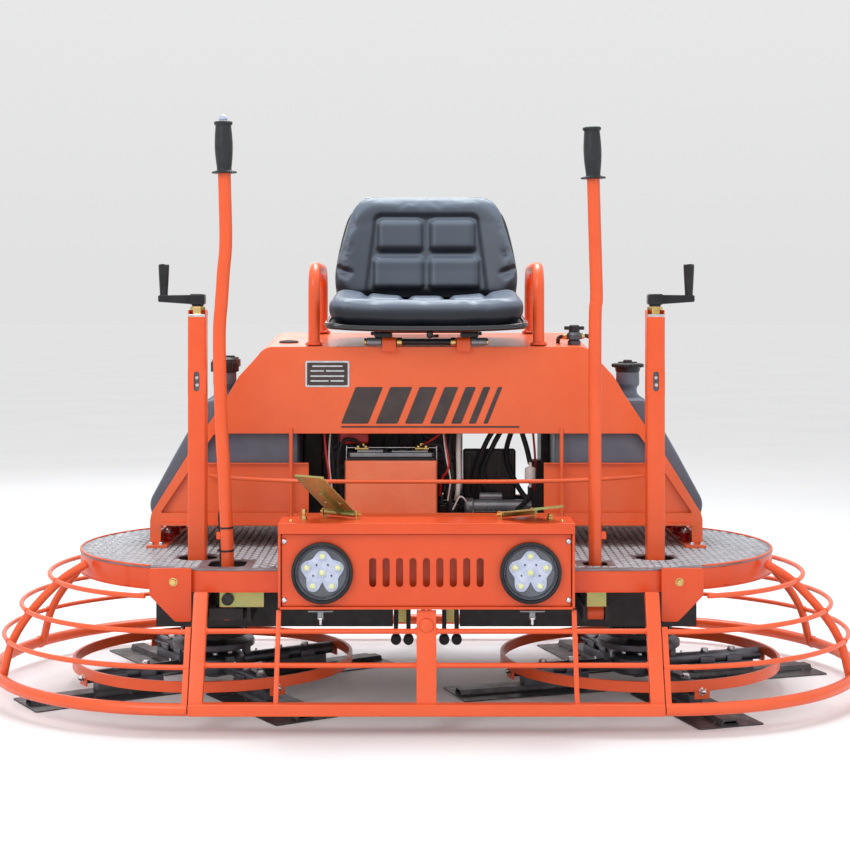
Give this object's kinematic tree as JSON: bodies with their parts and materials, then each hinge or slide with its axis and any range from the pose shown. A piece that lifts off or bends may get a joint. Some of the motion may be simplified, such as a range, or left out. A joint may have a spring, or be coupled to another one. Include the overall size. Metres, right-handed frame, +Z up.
{
  "type": "ride-on power trowel",
  "caption": "Ride-on twin-rotor power trowel for concrete: ring guard, checker deck, seat over the engine, steering levers, pitch cranks, pedals and tilting bladed rotors.",
  "frame": {"origin": "on the floor under the middle of the machine, halfway along its length and its depth", "axes": "+X along the length, to the right in front view; the front with the lamps faces -Y; +Z up"},
  "size_m": [2, 1.02, 1.284],
  "materials": {
    "orange_paint": "gloss",
    "dark_paint": "satin",
    "checker_plate": "raised tread",
    "blade_steel": "dark rolled",
    "arm_steel": "satin",
    "black_rubber": "matte",
    "tank_plastic": "moulded",
    "black_plastic": "satin",
    "yellow_zinc": "yellow passivated zinc",
    "seat_vinyl": "grained vinyl",
    "engine_casting": "satin black",
    "lamp_housing": "gloss"
  },
  "bodies": {
    "chassis": {"deck_plate": "checker_plate", "deck_frame": "orange_paint", "under_frame": "dark_paint", "guard_left": "orange_paint", "guard_right": "orange_paint", "front_gate": "orange_paint", "lamp_box": "orange_paint", "lamp_panel": "orange_paint", "headlight_left": "lamp_housing", "headlight_right": "lamp_housing", "seat_frame_front": "orange_paint", "seat_frame_rear": "orange_paint", "seat_deck": "orange_paint", "fuel_tank": "tank_plastic", "water_tank": "tank_plastic", "armrest_left": "orange_paint", "armrest_right": "orange_paint", "engine": "engine_casting", "muffler": "dark_paint", "battery_tray": "orange_paint", "battery": "black_plastic"},
    "gearbox_yoke": {"gearbox_yoke": "arm_steel"},
    "gearbox_left": {"gearbox_left": "dark_paint", "crank_post_left": "orange_paint"},
    "gearbox_right": {"gearbox_right": "dark_paint", "crank_post_right": "orange_paint"},
    "lever_yoke": {"lever_yoke": "arm_steel"},
    "lever_left": {"lever_left": "orange_paint", "lever_grip_left": "black_rubber"},
    "lever_right": {"lever_right": "orange_paint", "lever_grip_right": "black_rubber"},
    "spray_button": {"spray_button": "arm_steel"},
    "seat_base": {"seat_base": "dark_paint"},
    "seat": {"seat_pan": "black_plastic", "seat_cushion": "seat_vinyl", "seat_back": "seat_vinyl"},
    "seat_adjust_lever": {"seat_adjust_lever": "black_plastic"},
    "throttle_pedal": {"throttle_pedal": "yellow_zinc"},
    "spray_pedal": {"spray_pedal": "yellow_zinc"},
    "fuel_cap": {"fuel_cap": "black_plastic"},
    "water_cap": {"water_cap": "black_plastic"},
    "valve_knob": {"valve_knob": "black_plastic"},
    "rotor_left": {"spider_left": "arm_steel", "ring_left": "orange_paint"},
    "pressure_plate_left": {"pressure_plate_left": "arm_steel"},
    "crank_left": {"crank_left": "black_plastic"},
    "crank_grip_left": {"crank_grip_left": "black_plastic"},
    "blade_left_1": {"blade_left_1": "blade_steel"},
    "blade_left_2": {"blade_left_2": "blade_steel"},
    "blade_left_3": {"blade_left_3": "blade_steel"},
    "blade_left_4": {"blade_left_4": "blade_steel"},
    "rotor_right": {"spider_right": "arm_steel", "ring_right": "orange_paint"},
    "pressure_plate_right": {"pressure_plate_right": "arm_steel"},
    "crank_right": {"crank_right": "black_plastic"},
    "crank_grip_right": {"crank_grip_right": "black_plastic"},
    "blade_right_1": {"blade_right_1": "blade_steel"},
    "blade_right_2": {"blade_right_2": "blade_steel"},
    "blade_right_3": {"blade_right_3": "blade_steel"},
    "blade_right_4": {"blade_right_4": "blade_steel"}
  },
  "joints": [
    {"name": "lever_left_fore_aft", "type": "hinge", "parent": "chassis", "child": "lever_yoke", "pos_m": [-0.429, -0.295, 0.215], "axis": [1, 0, 0], "range_deg": [-7, 7], "stiffness_Nm_per_rad": 400},
    {"name": "lever_left_side", "type": "hinge", "parent": "lever_yoke", "child": "lever_left", "pos_m": [-0.429, -0.295, 0.215], "axis": [0, -1, 0], "range_deg": [-3, 3], "stiffness_Nm_per_rad": 400},
    {"name": "lever_right_fore_aft", "type": "hinge", "parent": "chassis", "child": "lever_right", "pos_m": [0.364, -0.295, 0.215], "axis": [1, 0, 0], "range_deg": [-7, 7], "stiffness_Nm_per_rad": 400},
    {"name": "gearbox_left_roll", "type": "hinge", "parent": "chassis", "child": "gearbox_yoke", "pos_m": [-0.495, 0, 0.208], "axis": [0, 1, 0], "range_deg": [-2.5, 2.5]},
    {"name": "gearbox_left_pitch", "type": "hinge", "parent": "gearbox_yoke", "child": "gearbox_left", "pos_m": [-0.495, 0, 0.208], "axis": [1, 0, 0], "range_deg": [-2.1, 2.1]},
    {"name": "gearbox_right_roll", "type": "hinge", "parent": "chassis", "child": "gearbox_right", "pos_m": [0.495, 0, 0.208], "axis": [0, -1, 0], "range_deg": [-2.5, 2.5]},
    {"name": "rotor_left_spin", "type": "hinge", "parent": "gearbox_left", "child": "rotor_left", "pos_m": [-0.495, 0, 0.046], "axis": [0, 0, 1], "continuous": true},
    {"name": "crank_left_turn", "type": "hinge", "parent": "gearbox_left", "child": "crank_left", "pos_m": [-0.505, -0.207, 0.877], "axis": [0, 0, 1], "range_deg": [0, 2070]},
    {"name": "crank_grip_left_spin", "type": "hinge", "parent": "crank_left", "child": "crank_grip_left", "pos_m": [-0.58, -0.207, 0.8965], "axis": [0, 0, 1], "continuous": true},
    {"name": "pressure_plate_left_slide", "type": "slide", "parent": "rotor_left", "child": "pressure_plate_left", "axis": [0, 0, -1], "range_m": [0, 0.01]},
    {"name": "blade_left_1_pitch", "type": "hinge", "parent": "rotor_left", "child": "blade_left_1", "pos_m": [-0.495, 0, 0.046], "axis": [0.5373, -0.8434, 0], "range_deg": [0, 20.5]},
    {"name": "blade_left_2_pitch", "type": "hinge", "parent": "rotor_left", "child": "blade_left_2", "pos_m": [-0.495, 0, 0.046], "axis": [0.8434, 0.5373, 0], "range_deg": [0, 20.5]},
    {"name": "blade_left_3_pitch", "type": "hinge", "parent": "rotor_left", "child": "blade_left_3", "pos_m": [-0.495, 0, 0.046], "axis": [-0.5373, 0.8434, 0], "range_deg": [0, 20.5]},
    {"name": "blade_left_4_pitch", "type": "hinge", "parent": "rotor_left", "child": "blade_left_4", "pos_m": [-0.495, 0, 0.046], "axis": [-0.8434, -0.5373, 0], "range_deg": [0, 20.5]},
    {"name": "rotor_right_spin", "type": "hinge", "parent": "gearbox_right", "child": "rotor_right", "pos_m": [0.495, 0, 0.046], "axis": [0, 0, 1], "continuous": true},
    {"name": "crank_right_turn", "type": "hinge", "parent": "gearbox_right", "child": "crank_right", "pos_m": [0.505, -0.207, 0.877], "axis": [0, 0, 1], "range_deg": [0, 2070]},
    {"name": "crank_grip_right_spin", "type": "hinge", "parent": "crank_right", "child": "crank_grip_right", "pos_m": [0.58, -0.207, 0.8965], "axis": [0, 0, 1], "continuous": true},
    {"name": "pressure_plate_right_slide", "type": "slide", "parent": "rotor_right", "child": "pressure_plate_right", "axis": [0, 0, -1], "range_m": [0, 0.01]},
    {"name": "blade_right_1_pitch", "type": "hinge", "parent": "rotor_right", "child": "blade_right_1", "pos_m": [0.495, 0, 0.046], "axis": [-0.309, 0.9511, 0], "range_deg": [0, 20.5]},
    {"name": "blade_right_2_pitch", "type": "hinge", "parent": "rotor_right", "child": "blade_right_2", "pos_m": [0.495, 0, 0.046], "axis": [-0.9511, -0.309, 0], "range_deg": [0, 20.5]},
    {"name": "blade_right_3_pitch", "type": "hinge", "parent": "rotor_right", "child": "blade_right_3", "pos_m": [0.495, 0, 0.046], "axis": [0.309, -0.9511, 0], "range_deg": [0, 20.5]},
    {"name": "blade_right_4_pitch", "type": "hinge", "parent": "rotor_right", "child": "blade_right_4", "pos_m": [0.495, 0, 0.046], "axis": [0.9511, 0.309, 0], "range_deg": [0, 20.5]},
    {"name": "spray_button_push", "type": "slide", "parent": "lever_left", "child": "spray_button", "axis": [0.0544, -0.2808, -0.9582], "range_m": [0, 0.0025], "stiffness_N_per_m": 400},
    {"name": "seat_tip", "type": "hinge", "parent": "chassis", "child": "seat_base", "pos_m": [0, -0.056, 0.792], "axis": [1, 0, 0], "range_deg": [0, 60]},
    {"name": "seat_slide", "type": "slide", "parent": "seat_base", "child": "seat", "axis": [0, 1, 0], "range_m": [-0.03, 0.09]},
    {"name": "seat_adjust_lever_swing", "type": "hinge", "parent": "seat", "child": "seat_adjust_lever", "pos_m": [0.02, -0.02, 0.805], "axis": [0, 0, 1], "range_deg": [0, 18], "stiffness_Nm_per_rad": 0.4},
    {"name": "throttle_pedal_press", "type": "hinge", "parent": "chassis", "child": "throttle_pedal", "pos_m": [-0.182, -0.342, 0.434], "axis": [0.788, -0.6157, 0], "range_deg": [0, 24], "stiffness_Nm_per_rad": 3, "springref_deg": -28.65},
    {"name": "spray_pedal_press", "type": "hinge", "parent": "chassis", "child": "spray_pedal", "pos_m": [0.192, -0.342, 0.434], "axis": [0.788, 0.6157, 0], "range_deg": [0, 7], "stiffness_Nm_per_rad": 3, "springref_deg": -28.65},
    {"name": "fuel_cap_turn", "type": "hinge", "parent": "chassis", "child": "fuel_cap", "pos_m": [-0.481, 0.1, 0.7165], "axis": [0, 0, 1], "range_deg": [0, 120]},
    {"name": "water_cap_turn", "type": "hinge", "parent": "chassis", "child": "water_cap", "pos_m": [0.481, 0.1, 0.7165], "axis": [0, 0, 1], "range_deg": [0, 120]},
    {"name": "valve_knob_turn", "type": "hinge", "parent": "chassis", "child": "valve_knob", "pos_m": [0.345, 0.005, 0.785], "axis": [0, 0, 1], "range_deg": [0, 90]}
  ],
  "couplings": [
    {"joint": "gearbox_left_roll", "follows": "lever_left_fore_aft", "ratio": 0.34286},
    {"joint": "gearbox_left_pitch", "follows": "lever_left_side", "ratio": 0.66667},
    {"joint": "gearbox_right_roll", "follows": "lever_right_fore_aft", "ratio": 0.34286},
    {"joint": "pressure_plate_left_slide", "follows": "crank_left_turn", "m_per_rad": 0.000275},
    {"joint": "blade_left_1_pitch", "follows": "crank_left_turn", "ratio": 0.0096},
    {"joint": "blade_left_2_pitch", "follows": "crank_left_turn", "ratio": 0.0096},
    {"joint": "blade_left_3_pitch", "follows": "crank_left_turn", "ratio": 0.0096},
    {"joint": "blade_left_4_pitch", "follows": "crank_left_turn", "ratio": 0.0096},
    {"joint": "pressure_plate_right_slide", "follows": "crank_right_turn", "m_per_rad": 0.000275},
    {"joint": "blade_right_1_pitch", "follows": "crank_right_turn", "ratio": 0.0096},
    {"joint": "blade_right_2_pitch", "follows": "crank_right_turn", "ratio": 0.0096},
    {"joint": "blade_right_3_pitch", "follows": "crank_right_turn", "ratio": 0.0096},
    {"joint": "blade_right_4_pitch", "follows": "crank_right_turn", "ratio": 0.0096},
    {"joint": "rotor_right_spin", "follows": "rotor_left_spin", "ratio": -1}
  ]
}
